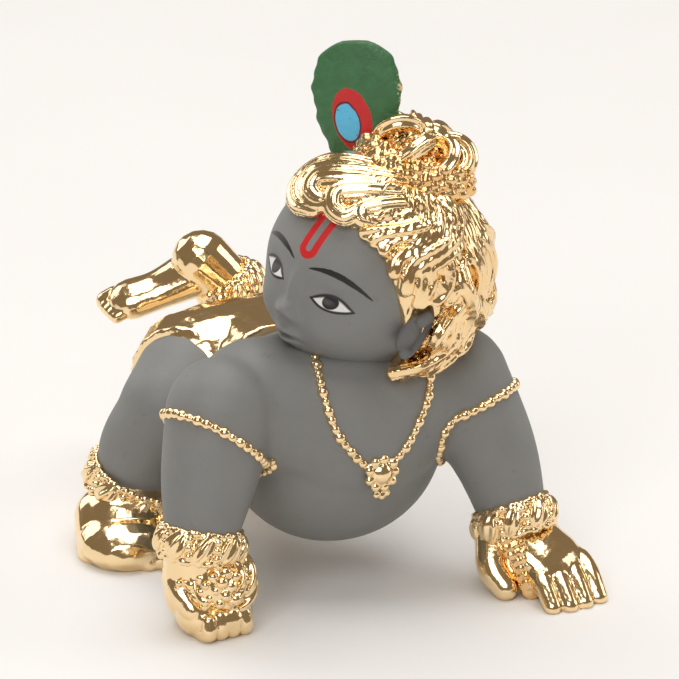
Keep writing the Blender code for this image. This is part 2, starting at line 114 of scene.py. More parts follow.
def around(count, ahead, aside, start=0.0):
    """Directions spread evenly over a full turn, the first of them start places on from ahead."""
    return [turned((i + start) / count * tau, ahead, aside) for i in range(count)]


def arc(centre, reach, spins, ahead, aside, size):
    """The stations of a limb that is bent round centre."""
    return [(*(centre + reach * turned(spin, ahead, aside)), size) for spin in spins]


GOLDEN_ANGLE = pi * (3 - sqrt(5))


def scattered(count, lowest):
    """Points spread evenly over a ball of radius one, from its top down to the height lowest."""
    for i in range(count):
        z = 1 - (1 - lowest) * (i + 0.5) / count
        across = sqrt(1 - z * z)
        yield np.array((across * cos(i * GOLDEN_ANGLE), across * sin(i * GOLDEN_ANGLE), z))


def head_axes():
    """The head's own side, forward and up directions: it looks to its right and leans back."""
    up = unit(turned(HEAD_LEAN, UPRIGHT, np.array((0.866, -0.5, 0.0))))
    forward = np.array((-sin(HEAD_TURN), -cos(HEAD_TURN), 0.0))
    forward = unit(forward - up * (forward @ up))
    return np.array((np.cross(up, forward), forward, up))


HEAD_AXES = head_axes()
SIDE, FORWARD, UP = HEAD_AXES
KNOT = HEAD + KNOT_RADIUS * turned(KNOT_LEAN, UP, FORWARD)


def in_head(side, forward, up):
    """A point of the head, from its centre, in head radii."""
    return HEAD + HEAD_RADIUS * (side * SIDE + forward * FORWARD + up * UP)


def on_head(theta, phi, radius):
    """A point over the head: theta degrees down from its crown and phi degrees round from its face."""
    across = turned(radians(phi), FORWARD, SIDE)
    return HEAD + radius * turned(radians(theta), UP, across)


# Sizes and colours that a user would change

def size_of(name, about, default):
    return bpy.props.FloatProperty(name=name, description=about, default=default, min=0.0001, precision=4,
                                   unit="LENGTH", subtype="DISTANCE")


def colour_of(name, about, default):
    return bpy.props.FloatVectorProperty(name=name, description=about, default=default, min=0, max=1, size=3,
                                         subtype="COLOR")


class FigureSizes(bpy.types.PropertyGroup):
    height: size_of("Height", "Height of the whole figure", CAD_BOX[1][2] - CAD_BOX[0][2])
    lock: size_of("Lock width", "Width of one lock of hair", 0.0021)
    bead: size_of("Bead", "Diameter of one bead of the strings", 0.0013)
    feather_length: size_of("Feather length", "Length of the feather above the hair", 0.0150)
    feather_width: size_of("Feather width", "Greatest width of the feather", 0.0106)
    feather_thickness: size_of("Feather thickness", "Thickness of the feather plate", 0.0015)
    bangle_height: size_of("Bangle height", "Height of a bangle along the arm", 0.0040)
    bangle_thickness: size_of("Bangle thickness", "How far a bangle stands off the arm", 0.0013)
    sweet: size_of("Sweet", "Diameter of the sweet in the right hand", 0.0078)
    cloth: size_of("Cloth", "How far the cloth stands off the hips", 0.0006)


class FigureColours(bpy.types.PropertyGroup):
    skin: colour_of("Skin", "Matte grey paint of the skin", (0.220, 0.224, 0.220))
    gold: colour_of("Gold", "Polished gold plate", (0.95, 0.75, 0.45))
    # Painted interreflection: the orange that gold shows where light bounces between its own hollows and
    # grains, put into the colour
    gold_interreflection: colour_of("Deep gold", "Gold plate in the hollows", (0.84, 0.47, 0.16))
    feather: colour_of("Feather", "Green paint of the feather", (0.045, 0.160, 0.060))
    ring: colour_of("Red", "Red paint of the feather's ring and the mark on the brow", (0.62, 0.018, 0.022))
    centre: colour_of("Blue", "Light blue paint of the feather's centre", (0.12, 0.56, 0.90))
    line: colour_of("Black", "Black paint of the brows and the eyes' lines", (0.012, 0.011, 0.011))
    white: colour_of("White", "White paint of the eyes", (0.80, 0.80, 0.78))


def sizes():
    return bpy.context.scene.figure_sizes


def colours():
    return bpy.context.scene.figure_colours


def grid_unit():
    """One unit of the drawing grid, in metres."""
    return sizes().height / GRID_HEIGHT


def units(name):
    """One of the figure's sizes, on the drawing grid."""
    return getattr(sizes(), name) / grid_unit()


# Modelling with closed shells that are fused into one surface

def through(stations, per_span=8):
    """A smooth curve through stations, each a point and whatever sizes follow it."""
    p = np.asarray(stations, float)
    p = np.vstack([2 * p[0] - p[1], p, 2 * p[-1] - p[-2]])
    t = np.linspace(0.0, 1.0, per_span, endpoint=False)[:, None]
    spans = []
    for a, b, c, d in zip(p, p[1:], p[2:], p[3:]):
        spans.append(b + 0.5 * t * (c - a) + t**2 * (a - 2.5 * b + 2 * c - 0.5 * d)
                     + t**3 * (1.5 * b - 0.5 * a - 1.5 * c + 0.5 * d))
    return np.vstack([*spans, p[-2:-1]])


def frames_along(points, up):
    """For each point of a path, its side, up and forward directions, turned as little as possible."""
    tangents = np.gradient(points, axis=0)
    tangents /= np.linalg.norm(tangents, axis=1)[:, None]
    ups = []
    current = np.asarray(up, float)
    for tangent in tangents:
        current = unit(current - tangent * (current @ tangent))
        ups.append(current)
    ups = np.array(ups)
    return np.cross(tangents, ups), ups, tangents


def unit_ball(segments, rings):
    """The points and the faces of a ball of radius one."""
    bm = bmesh.new()
    bmesh.ops.create_uvsphere(bm, u_segments=segments, v_segments=rings, radius=1)
    points = np.array([vert.co for vert in bm.verts])
    faces = [[vert.index for vert in face.verts] for face in bm.faces]
    bm.free()
    return points, faces


BALL = unit_ball(32, 20)
SMALL_BALL = unit_ball(14, 9)


class Clay:
    """Closed shells on the drawing grid that overlap, waiting to be fused."""

    def __init__(self):
        self.points = []
        self.faces = []
        self.count = 0

    def add(self, points, faces):
        self.points.append(np.asarray(points, float))
        self.faces.extend([[i + self.count for i in face] for face in faces])
        self.count += len(points)

    def add_rings(self, rings):
        """A closed skin over rings of points, with a flat cap on each end."""
        n = len(rings[0])
        faces = [list(range(n))[::-1], [n * (len(rings) - 1) + i for i in range(n)]]
        for row in range(len(rings) - 1):
            for i in range(n):
                j = (i + 1) % n
                faces.append([row * n + i, row * n + j, (row + 1) * n + j, (row + 1) * n + i])
        self.add(np.vstack(rings), faces)

    def ball(self, centre, radii, axes=None, template=BALL):
        """An ellipsoid. Its axes are the rows of a 3 x 3 array, or the grid's own."""
        axes = np.eye(3) if axes is None else np.asarray(axes)
        self.add((template[0] * np.broadcast_to(radii, 3)) @ axes + np.asarray(centre, float), template[1])

    def bead(self, centre, radius):
        self.ball(centre, radius, template=SMALL_BALL)

    def cap(self, centre, radius, normal, reach):
        """A ball pressed flat where it would pass reach along normal from its centre."""
        beyond = np.maximum(0.0, BALL[0] @ normal * radius - reach)
        self.add(BALL[0] * radius - beyond[:, None] * normal + centre, BALL[1])

    def limb(self, stations, up=(0, 0, 1), flat=1.0, sides=20, ridges=0, depth=0.0, twist=0.0,
             round_ends=True):
        """A round or flattened limb through stations of x, y, z and radius.

        flat is its thickness along up as a share of its width. Ridges run along it, and
        wind round it by twist radians from one ring to the next."""
        path = through(stations)
        points, radii = path[:, :3], path[:, 3]
        side, over, along = frames_along(points, up)
        head, tail = [], []
        if round_ends:
            turns = np.radians([82, 60, 40, 20])
            head = [(points[0] - along[0] * radii[0] * sin(a), radii[0] * cos(a), 0)
                    for a in turns]
            tail = [(points[-1] + along[-1] * radii[-1] * sin(a), radii[-1] * cos(a), -1)
                    for a in turns[::-1]]
        body = [(p, r, i) for i, (p, r) in enumerate(zip(points, radii))]
        angles = np.arange(sides) / sides * tau
        rings = []
        for row, (point, radius, i) in enumerate(head + body + tail):
            wave = 1 + depth * np.cos(ridges * angles + twist * row)
            across = np.cos(angles)[:, None] * side[i]
            rise = flat * np.sin(angles)[:, None] * over[i]
            rings.append(point + radius * wave[:, None] * (across + rise))
        self.add_rings(rings)

    def mesh(self, name):
        mesh = bpy.data.meshes.new(name)
        mesh.from_pydata(np.vstack(self.points), [], self.faces)
        bm = bmesh.new()
        bm.from_mesh(mesh)
        bmesh.ops.recalc_face_normals(bm, faces=bm.faces)
        bm.to_mesh(mesh)
        bm.free()
        return mesh

    def fuse(self, name, voxel, smoothing, keep=1.0):
        """The shells as one mesh on the grid, smoothed and thinned to a share of its faces."""
        draft = add_object(name + "_draft", self.mesh(name + "_draft"))
        remesh = draft.modifiers.new("Fuse", "REMESH")
        remesh.mode = "VOXEL"
        remesh.voxel_size = voxel
        smooth = draft.modifiers.new("Blend", "SMOOTH")
        smooth.factor = 0.5
        smooth.iterations = smoothing
        if keep < 1:
            thin = draft.modifiers.new("Thin", "DECIMATE")
            thin.ratio = keep
        bpy.context.view_layer.update()
        graph = bpy.context.evaluated_depsgraph_get()
        mesh = bpy.data.meshes.new_from_object(draft.evaluated_get(graph))
        mesh.name = name
        bpy.data.objects.remove(draft)
        return mesh


def add_object(name, data):
    obj = bpy.data.objects.new(name, data)
    bpy.context.scene.collection.objects.link(obj)
    return obj


def place(name, mesh, material, slot):
    """The mesh, drawn on the grid, as a piece of the figure at its real size and place."""
    points = np.empty(len(mesh.vertices) * 3)
    mesh.vertices.foreach_get("co", points)
    points = (points.reshape(-1, 3) - ORIGIN) * grid_unit()
    points[:, 2] = np.maximum(points[:, 2], 0.0)
    mesh.vertices.foreach_set("co", points.ravel())
    mesh.update()
    mesh.shade_smooth()
    mesh.materials.clear()
    mesh.materials.append(material)
    piece = add_object(name, mesh)
    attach(piece, "root")
    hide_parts("idol")


# Shader maths written as Python expressions

class Signal:
    """A number on its way through a material's nodes. Operators on it add Math nodes."""

    def __init__(self, finish, socket):
        self.finish = finish
        self.socket = socket

    def __add__(self, other):
        return self.finish.maths("ADD", self, other)

    def __sub__(self, other):
        return self.finish.maths("SUBTRACT", self, other)

    def __rsub__(self, other):
        return self.finish.maths("SUBTRACT", other, self)

    def __mul__(self, other):
        return self.finish.maths("MULTIPLY", self, other)

    def __truediv__(self, other):
        return self.finish.maths("DIVIDE", self, other)

    def __abs__(self):
        return self.finish.maths("ABSOLUTE", self)

    __radd__ = __add__
    __rmul__ = __mul__


class Finish:
    """A material being wired, with the place on the surface in millimetres to hand."""

    def __init__(self, name, metallic=0.0):
        self.material = bpy.data.materials.new(name)
        self.material.use_nodes = True
        self.tree = self.material.node_tree
        self.shader = self.tree.nodes["Principled BSDF"]
        self.shader.inputs["Metallic"].default_value = metallic
        place = self.node("TexCoord").outputs["Object"]
        self.place = self.node("VectorMath", {"operation": "SCALE"},
                               {"Vector": place, "Scale": MM}).outputs["Vector"]

    def node(self, kind, settings=None, inputs=None):
        """A shader node of that kind with its settings, and its inputs set or linked."""
        node = self.tree.nodes.new("ShaderNode" + kind)
        for name, value in (settings or {}).items():
            setattr(node, name, value)
        for name, value in (inputs or {}).items():
            self.put(node.inputs[name], value)
        return node

    def put(self, socket, value):
        value = value.socket if isinstance(value, Signal) else value
        if isinstance(value, bpy.types.NodeSocket):
            self.tree.links.new(value, socket)
        else:
            socket.default_value = value

    def maths(self, operation, *values):
        node = self.node("Math", {"operation": operation})
        for socket, value in zip(node.inputs, values):
            self.put(socket, value)
        return Signal(self, node.outputs[0])

    def smaller(self, a, b):
        return self.maths("MINIMUM", a, b)

    def larger(self, a, b):
        return self.maths("MAXIMUM", a, b)

    def step(self, value, low, high):
        """0 where value is at low and 1 where it is at high, with a smooth way between."""
        node = self.node("MapRange", {"interpolation_type": "SMOOTHSTEP"},
                         {"Value": value, "From Min": low, "From Max": high})
        return Signal(self, node.outputs["Result"])

    def mix(self, factor, a, b):
        """Colour a where factor is 0 and colour b where it is 1."""
        node = self.node("Mix", {"data_type": "RGBA"})
        self.put(node.inputs["Factor"], factor)
        for name, colour in (("A", a), ("B", b)):
            socket = next(s for s in node.inputs if s.name == name and s.enabled)
            self.put(socket, colour if isinstance(colour, bpy.types.NodeSocket) else (*colour, 1.0))
        return next(s for s in node.outputs if s.enabled)

    def along(self, centre, direction, length=1.0):
        """How far the place is from centre along direction, in lengths."""
        shifted = self.node("VectorMath", {"operation": "SUBTRACT"},
                            {0: self.place, 1: tuple(centre)}).outputs["Vector"]
        dot = self.node("VectorMath", {"operation": "DOT_PRODUCT"},
                        {0: shifted, 1: tuple(np.asarray(direction) / length)})
        return Signal(self, dot.outputs["Value"])

    def noise(self, scale, detail, roughness=0.5):
        """A cloudy value from 0 to 1, with scale features to a millimetre."""
        node = self.node("TexNoise", None,
                         {"Vector": self.place, "Scale": scale, "Detail": detail, "Roughness": roughness})
        return Signal(self, node.outputs["Fac"])

    def bump(self, height, distance, strength):
        """Relief that is distance metres high where height is 1."""
        node = self.node("Bump", None,
                         {"Height": height, "Distance": distance, "Strength": strength})
        self.put(self.shader.inputs["Normal"], node.outputs["Normal"])

    def done(self, colour, roughness):
        self.put(self.shader.inputs["Base Color"], colour)
        self.put(self.shader.inputs["Roughness"], roughness)
        return self.material


def on_place(point):
    """A point of the grid in the millimetres that materials are drawn in."""
    return (np.asarray(point) - ORIGIN) * grid_unit() * MM


def skin_colour(finish):
    """The grey paint: faint clouds, and a few darker smudges where handling wore it."""
    skin = np.array(colours().skin)
    clouds = finish.mix(finish.noise(0.22, 3), skin * 0.90, skin * 1.08)
    smudge = finish.step(finish.noise(0.55, 5, 0.65), 0.62, 0.74) * 0.35
    return finish.mix(smudge, clouds, skin * 0.55)


# The grain of the paint: noise scale, detail and roughness, then the bump's height and strength
GRAIN = (5.0, 4, 0.6)
GRAIN_BUMP = (0.00003, 0.6)


def grey_paint():
    finish = Finish("grey_paint")
    finish.bump(finish.noise(*GRAIN), *GRAIN_BUMP)
    return finish.done(skin_colour(finish), finish.noise(0.8, 3) * 0.12 + 0.50)


# How much of the painted interreflection, the deep orange gold, each kind of plate shows, and how rough it
# is at its smoothest
PLATES = {"gold_plate": (0.14, 0.08), "gold_grains": (0.90, 0.16), "gold_hair": (0.34, 0.09)}
HAIR_STRANDS = 84


def gold_plate(name):
    """Polished plate over a slightly uneven casting, with painted interreflection: deep orange gold mixed
    in, more of it in patches.
    """
    depth, roughness = PLATES[name]
    finish = Finish(name, metallic=1.0)
    # Painted interreflection: half the plate's share of deep orange gold everywhere, and up to its full
    # share in noise patches
    reflection_patches = finish.step(finish.noise(0.35, 3, 0.55), 0.40, 0.70)
    colour = finish.mix(reflection_patches * 0.5 * depth + 0.5 * depth, colours().gold, colours().gold_interreflection)
    relief = finish.noise(0.40, 2) + finish.noise(1.6, 2) * 0.15
    if name == "gold_hair":
        centre = on_place(HEAD)
        turn = finish.maths("ARCTAN2", finish.along(centre, SIDE), finish.along(centre, FORWARD))
        strands = finish.maths("SINE", turn * HAIR_STRANDS + finish.noise(0.22, 2) * 14.0)
        relief = relief + strands * 0.48 + finish.noise(0.9, 3) * 0.5
    finish.bump(relief, 0.0005, 0.20)
    return finish.done(colour, finish.noise(1.1, 3) * 0.10 + roughness)


# The painted eyes, brows and mark, in head radii
EYE_AWAY = 0.37
EYE_DROP = 0.190
EYE_HALF_WIDTH = 0.19
IRIS_AWAY = 0.355
IRIS_DROP = 0.168
BROW_AWAY = 0.38
BROW_HALF_WIDTH = 0.29
MARK_RADIUS = 0.066


def face_paint():
    """The grey paint with painted brows and eyes and the red mark on the brow."""
    finish = Finish("face_paint")
    step, mix, noise = finish.step, finish.mix, finish.noise
    centre = on_place(HEAD)
    radius = HEAD_RADIUS * grid_unit() * MM
    side = finish.along(centre, SIDE, radius)
    up = finish.along(centre, UP, radius)
    ahead = step(finish.along(centre, FORWARD, radius), 0.2, 0.35)
    wobble = (noise(1.6, 2) - 0.5) * 0.018
    away = abs(side)
    eye = (away - EYE_AWAY) / EYE_HALF_WIDTH
    slant = up + EYE_DROP - eye * 0.020
    lens = 1.0 - eye * eye
    inside = finish.smaller(lens * 0.088 - slant, lens * 0.060 + slant) + wobble * 0.3
    white = step(inside, 0.002, 0.012) * ahead
    upper = step(slant, -0.010, 0.020)
    lid = step(abs(inside - upper * 0.010), upper * 0.012 + 0.020, 0.006)
    lid = lid * step(abs(eye), 1.16, 1.06)
    iris_up = up + IRIS_DROP
    iris_away = away - IRIS_AWAY
    off = finish.maths("SQRT", iris_away * iris_away + iris_up * iris_up)
    iris = step(off, 0.074, 0.066) * white
    arch = (away - BROW_AWAY) / BROW_HALF_WIDTH
    bow = 1.0 - arch * arch
    brow_line = abs(up - 0.020 - bow * 0.080 + arch * 0.018 + wobble * 0.6)
    brow = step(brow_line - bow * 0.024, 0.010, 0.000) * step(abs(arch), 1.02, 0.94)
    dark = finish.larger(lid * ahead, finish.larger(iris, brow * ahead))
    low = finish.smaller(up - 0.20, 0.0)
    round_mark = finish.maths("SQRT", side * side + low * low)
    mark = step(abs(round_mark - MARK_RADIUS + wobble * 0.4), 0.040, 0.030) * ahead
    mark = mark * step(up, -0.1, 0.0)
    colour = skin_colour(finish)
    colour = mix(white, colour, colours().white)
    colour = mix(dark, colour, colours().line)
    colour = mix(mark, colour, colours().ring)
    paint = finish.larger(finish.larger(white, dark), mark)
    finish.bump(noise(*GRAIN) + paint * 0.8, *GRAIN_BUMP)
    return finish.done(colour, noise(0.8, 3) * 0.12 + 0.50 - paint * 0.18)


# Modelling of each piece

def shape_body(clay):
    clay.limb([(-9, 0, 24.8, 8.0), (1.5, -1.5, 22.5, 10.8), (11, -2.5, 23.0, 8.2)])
    clay.ball((2.3, 1.6, 17.5), (13.8, 11.8, 12.5))
    clay.ball((2.6, -1.0, 21.0), (12.8, 11.2, 10.6))
    clay.limb([(2, 6, 18.5, 9.6), (2.5, 15, 18.2, 8.4), (2.5, 24, 18.8, 8.6)])
    clay.limb([(-2, 25, 19.0, 8.4), (7, 25, 19.0, 8.4)])
    clay.limb([(4, 1, 28, 6.6), (5, -1, 35, 6.0)])
    clay.limb([(*SHOULDER_RIGHT, 6.7), (*ELBOW_RIGHT, 5.7), (*WRIST_RIGHT, 4.1)])
    clay.limb([(*SHOULDER_LEFT, 6.8), (*ELBOW_LEFT, 5.4), (*WRIST_LEFT, 4.0)])
    clay.limb([(*HIP_RIGHT, 7.6), (*KNEE_RIGHT, 5.9)])
    clay.limb([(*KNEE_RIGHT, 5.5), (*SHIN_RIGHT, 5.0), (*ANKLE_RIGHT, 4.7)])
    clay.limb([(*HIP_LEFT, 7.6), (*KNEE_LEFT, 5.9)])
    clay.limb([(*KNEE_LEFT, 5.8), (*SHIN_LEFT, 4.5), (*ANKLE_LEFT, 3.2)])


# The face: centre across and up, width across and up, and height forward, all in head radii.
# Features across from each other are listed once. They stand on the quarter lines that a
# drawing book gives for a small child.
FACE_FORMS = (
    (0.00, -0.78, 0.42, 0.30, 0.130),
    (0.00, 0.10, 0.60, 0.30, 0.030),
    (0.36, -0.17, 0.18, 0.12, -0.100),
    (0.36, -0.21, 0.14, 0.085, 0.075),
    (0.00, -0.20, 0.07, 0.16, 0.070),
    (0.00, -0.43, 0.10, 0.080, 0.140),
    (0.11, -0.47, 0.060, 0.05, 0.065),
    (0.42, -0.52, 0.22, 0.19, 0.100),
    (0.00, -0.66, 0.22, 0.10, 0.050),
    (0.00, -0.635, 0.14, 0.035, 0.050),
    (0.00, -0.685, 0.16, 0.020, -0.070),
    (0.00, -0.735, 0.11, 0.040, 0.060),
    (0.00, -0.820, 0.14, 0.035, -0.040),
    (0.00, -0.930, 0.16, 0.090, 0.100),
)
SKULL = (0.93, 0.97, 1.0)
JAW_TAPER = 0.16


def head_mesh():
    """The head and its face, as a fine ball that is drawn out feature by feature."""
    bm = bmesh.new()
    bmesh.ops.create_icosphere(bm, subdivisions=7, radius=1)
    ball = np.array([vert.co for vert in bm.verts])
    side, forward, up = ball.T
    rise = np.zeros(len(ball))
    for across, height, wide, tall, lift in FACE_FORMS:
        for mirror in (across, -across) if across else (0.0,):
            rise += lift * np.exp(-(((side - mirror) / wide) ** 2 + ((up - height) / tall) ** 2))
    rise *= np.clip(forward / 0.25, 0, 1)
    taper = 1 - JAW_TAPER * np.maximum(0.0, -up) ** 1.6
    shape = np.column_stack([side * SKULL[0] * taper, forward * SKULL[1] * (1 + taper) / 2 + rise, up])
    points = HEAD + HEAD_RADIUS * shape @ HEAD_AXES
    for vert, point in zip(bm.verts, points):
        vert.co = point
    mesh = bpy.data.meshes.new("head")
    bm.to_mesh(mesh)
    bm.free()
    return mesh


def shape_ears(clay):
    for mirror, outset, ahead in ((1, 0.99, 0.31), (-1, 0.94, -0.02)):
        lean = unit(UP * 0.95 - FORWARD * 0.3)
        out = unit(SIDE * mirror - FORWARD * 0.35)
        fore = np.cross(lean, out)
        clay.ball(in_head((outset - 0.08) * mirror, ahead, -0.18), (1.1, 1.9, 2.8), (out, fore, lean))
        rim = arc(in_head(outset * mirror, ahead, -0.18), 1, np.radians((-100, -50, 0, 50, 100, 140)),
                  fore * mirror * 1.8, lean * 2.6, 0.70)
        clay.limb(rim, up=out, sides=10)


def shape_flat_hand(clay):
    """The left hand, palm down, with its fingers side by side."""
    ahead = unit((-0.12, -0.99, 0))
    across = unit((0.99, -0.12, 0))
    knuckles = np.array((22.2, -17.7, 4.3))
    clay.limb([(*WRIST_LEFT, 4.15), (20.6, -14.4, 6.2, 4.5), (21.9, -16.9, 4.5, 4.6)],
              up=(0.2, -0.6, 0.8), flat=0.52)
    clay.limb([(20.2, -14.2, 4.2, 4.3), (21.6, -17.8, 2.2, 4.3), (21.6, -20.6, 1.2, 3.7)], flat=0.42)
    for step, reach in zip((-1.5, -0.5, 0.5, 1.5), (5.6, 5.9, 5.6, 5.0)):
        root = knuckles + across * step * 2.15 - np.array((0, 0, 0.16 * step**2))
        tip = root + ahead * reach
        middle = (root + tip) / 2
        clay.limb([(*(root - ahead * 1.8), 1.25), (*root, 1.38), (middle[0], middle[1], 3.1, 1.26),
                   (tip[0], tip[1], 1.1, 1.10)], up=(0, -0.5, 0.9), flat=0.90, sides=18)
    clay.limb([(16.8, -12.2, 5.8, 2.5), (15.3, -14.3, 3.6, 2.0), (15.6, -16.6, 1.8, 1.6)])


def shape_hand_ornament(clay):
    """The strip of grains from the left bangle down between the thumb and the palm."""
    path = through([(17.0, -15.4, 7.4), (17.5, -16.6, 5.6), (17.9, -17.4, 3.8), (18.3, -18.2, 1.8)], 6)
    over = unit((-0.45, -0.80, 0.40))
    clay.limb([(*point, 1.45) for point in path[::3]], up=over, flat=0.6)
    for i, centre in enumerate(path):
        for j, share in enumerate((-1.05, -0.35, 0.35, 1.05)):
            along = share + 0.12 * sin(3.7 * i + j)
            place_on = centre + along * unit((0.87, -0.50, 0.0)) + (0.80 - 0.25 * share**2) * over
            clay.bead(place_on, 0.42 + 0.10 * sin(2.3 * i + 1.7 * j))


def sweet_ball():
    """The centre and the radius of the sweet, which rests in the right palm."""
    radius = units("sweet") / 2
    return np.array((-18.7, -7.6, 2.8 + radius)), radius


def shape_holding_hand(clay):
    """The right hand, its back on the ground, round a sweet."""
    centre, laddu = sweet_ball()
    clay.limb([(*WRIST_RIGHT, 4.2), (-19.6, -4.6, 6.4, 4.5)])
    clay.ball((-19.2, -4.4, 4.8), (4.7, 3.6, 4.5))
    clay.ball((-21.0, -7.0, 2.9), (2.7, 3.0, 2.7))
    clay.ball((-18.6, -7.4, 2.6), (4.2, 3.8, 2.3))
    front = centre[1] - laddu
    clay.limb([(-20.8, -8.0, 1.8, 1.8), (-16.4, -8.0, 1.8, 1.8)])
    for step, reach in zip((-1.5, -0.5, 0.5, 1.5), (3.0, 3.4, 3.5, 3.1)):
        x = centre[0] - 0.2 + step * 1.55
        clay.limb([(x, -6.0, 1.5, 1.3), (x, front + 2.3, 1.3, 1.2), (x, front + 1.3, 1.9, 1.05),
                   (x, front + 1.5, reach, 0.9)], sides=16)
    facing = unit((-0.42, -0.80, 0.42))
    side = unit(np.cross((0, 0, 1), facing))
    rise = np.cross(facing, side)
    for reach, radius, back in ((laddu * 1.02, 0.75, 0.2), (laddu * 0.74, 0.45, -2.3)):
        rim = arc(centre - back * facing, reach, np.radians(range(-60, 241, 20)), side, rise, radius)
        clay.limb(rim, up=facing, sides=24, ridges=3, depth=0.22, twist=0.30)
    clay.limb([(-22.2, -4.6, 7.2, 1.7), (-22.9, -6.2, 5.8, 1.6), (-22.3, -8.0, 4.0, 1.4)], sides=16)


def shape_sweet(clay):
    """The round sweet of small grains, and the patch of grains beside it."""
    centre, laddu = sweet_ball()
    clay.ball(centre, laddu * 0.92)
    for i, way in enumerate(scattered(90, -1)):
        clay.bead(centre + way * laddu * (0.88 + 0.06 * sin(5.0 * i)), 0.66 + 0.16 * sin(3.0 * i))
    patch = np.array((-23.1, -6.6, 6.3))
    for i in range(16):
        reach = sqrt((i + 0.5) / 16)
        way = turned(i * GOLDEN_ANGLE, np.array((0.9, -0.5, 0.0)), 1.5 * UPRIGHT)
        clay.bead(patch + reach * (way + np.array((0.0, -0.9, 0.0))), 0.45 + 0.08 * sin(2.0 * i))


def shape_standing_foot(clay):
    """The right foot, flat on the ground."""
    ahead = unit((-0.42, -0.91, 0))
    across = unit((-0.91, 0.42, 0))
    toes = np.array((-19.7, 14.2, 0))
    clay.limb([(*ANKLE_RIGHT, 4.7), (-16.9, 20.4, 3.7, 5.5)])
    clay.ball((-13.2, 27.0, 3.7), (4.2, 4.0, 3.8))
    clay.limb([(-19.0, 22.0, 4.4, 3.6), (-20.8, 19.0, 1.6, 3.1)])
    clay.limb([(-15.4, 24.4, 3.4, 5.0), (*(toes - ahead * 3.4)[:2], 2.8, 5.9)], flat=0.60)
    for step, size in zip((-2.1, -1.2, -0.4, 0.35, 1.05), (1.7, 1.35, 1.25, 1.2, 1.15)):
        root = toes + across * step * 2.2 - ahead * (2.3 + 0.35 * abs(step + 1.2))
        clay.limb([(*root[:2], size, size), (*(root + ahead * 2.8)[:2], size, size)], sides=16)


def shape_raised_foot(clay):
    """The left foot, kicked up behind, sole up and toes to the right."""
    sole = unit((0.25, -0.35, 0.9))
    heel = np.array((5.2, 40.8, 28.3))
    toes = np.array((-3.2, 44.2, 23.4))
    ahead = unit(toes - heel)
    across = np.cross(ahead, sole)
    clay.limb([(*ANKLE_LEFT, 3.5), (*heel, 3.9)])
    clay.limb([(*(heel + ahead * 1.0 - sole * 1.8), 3.8), (*(heel + ahead * 6.0 - sole * 1.2), 3.1),
               (*toes, 3.2)], up=sole, flat=0.72)
    for step, size in zip((-1.55, -0.6, 0.2, 0.95, 1.6), (1.35, 1.05, 1.0, 0.95, 0.85)):
        root = toes - across * step * 1.9 + ahead * 2.2 + sole * 0.4
        clay.limb([(*root, size), (*(root + ahead * (1.5 - 0.25 * abs(step + 0.8))), size)], sides=14)


HAIRLINE_NORMAL = unit(0.85 * FORWARD - 0.52 * UP - 0.14 * SIDE)
HAIRLINE_REACH = 0.28


def hairline(phi):
    """How many degrees down from the crown the hair ends, phi degrees round from the face."""
    a, b = HAIRLINE_NORMAL @ turned(radians(phi), FORWARD, SIDE), HAIRLINE_NORMAL @ UP
    return degrees(asin(HAIRLINE_REACH / hypot(a, b)) + atan2(-b, a))


def hair_lock(clay, start, end, width, wave, turns, phase, lift, curl=0.4, bend=0.0):
    """A wavy lock of a few strands over the head, from start to end in theta and phi.

    It sways by wave degrees, turns times. bend carries its tip round by that many degrees."""
    stations = []
    for t in np.linspace(0, 1, 16):
        theta = start[0] + (end[0] - start[0]) * t
        sway = wave * sin(tau * turns * t + phase) / max(sin(radians(theta)), 0.35)
        phi = start[1] + (end[1] - start[1]) * t + sway * min(1.0, 3 * t) + bend * t**4
        rise = lift * (0.7 + 0.3 * sin(2.6 * tau * t + phase)) * sin(pi * t)
        size = width * (0.74 + 0.26 * sin(pi * min(1.0, 0.2 + t)))
        stations.append((*on_head(theta, phi, HAIR_RADIUS + rise + curl * t**4), size))
    middle = on_head((start[0] + end[0]) / 2, (start[1] + end[1]) / 2, 1) - HEAD
    clay.limb(stations, up=middle, sides=36, ridges=5, depth=0.17, twist=0.03)


# The fringe: broad ribbons that sweep over the brow and turn back, as theta, phi, lift and radius
FRINGE = (
    ((13, 70, 0.2, 1.3), (20, 20, 0.6, 1.8), (32, -24, 0.7, 2.1), (46, -41, 0.4, 2.1), (58, -35, 0.3, 1.9),
     (63, -23, 0.3, 1.5), (61, -10, 0.5, 1.2)),
    ((17, 74, 0.3, 1.2), (26, 26, 0.9, 1.7), (37, -5, 1.2, 2.0), (48, -22, 1.1, 2.0), (56, -19, 0.9, 1.6),
     (57, -8, 0.9, 1.3), (52, -3, 0.9, 1.1)),
    ((21, 78, 0.4, 1.1), (30, 38, 0.9, 1.5), (39, 12, 1.2, 1.7), (48, -2, 1.2, 1.7), (55, 2, 0.9, 1.4),
     (56, 11, 0.8, 1.2), (51, 15, 0.9, 1.0)),
    ((25, 80, 0.4, 1.0), (33, 48, 0.8, 1.3), (41, 28, 1.0, 1.4), (48, 17, 0.9, 1.3), (53, 20, 0.7, 1.1),
     (52, 27, 0.6, 0.9)),
)


def shape_fringe(clay):
    """The swept fringe: ribbons of fine strands over a pad that fills their turns."""
    for pad in (((28, 16, 2.0), (42, -6, 2.5), (50, -14, 2.3), (54, -6, 1.6)),
                ((34, 34, 1.8), (44, 14, 2.2), (51, 6, 1.8), (52, 14, 1.6))):
        clay.limb([(*on_head(theta, phi, HAIR_RADIUS - 0.5), radius) for theta, phi, radius in pad],
                  up=UP + FORWARD, flat=0.7)
    for ribbon in FRINGE:
        stations = [(*on_head(theta, phi, HAIR_RADIUS + lift), radius)
                    for theta, phi, lift, radius in ribbon]
        clay.limb(stations, up=UP + FORWARD, flat=0.72, sides=72, ridges=12, depth=0.09, twist=0.03)


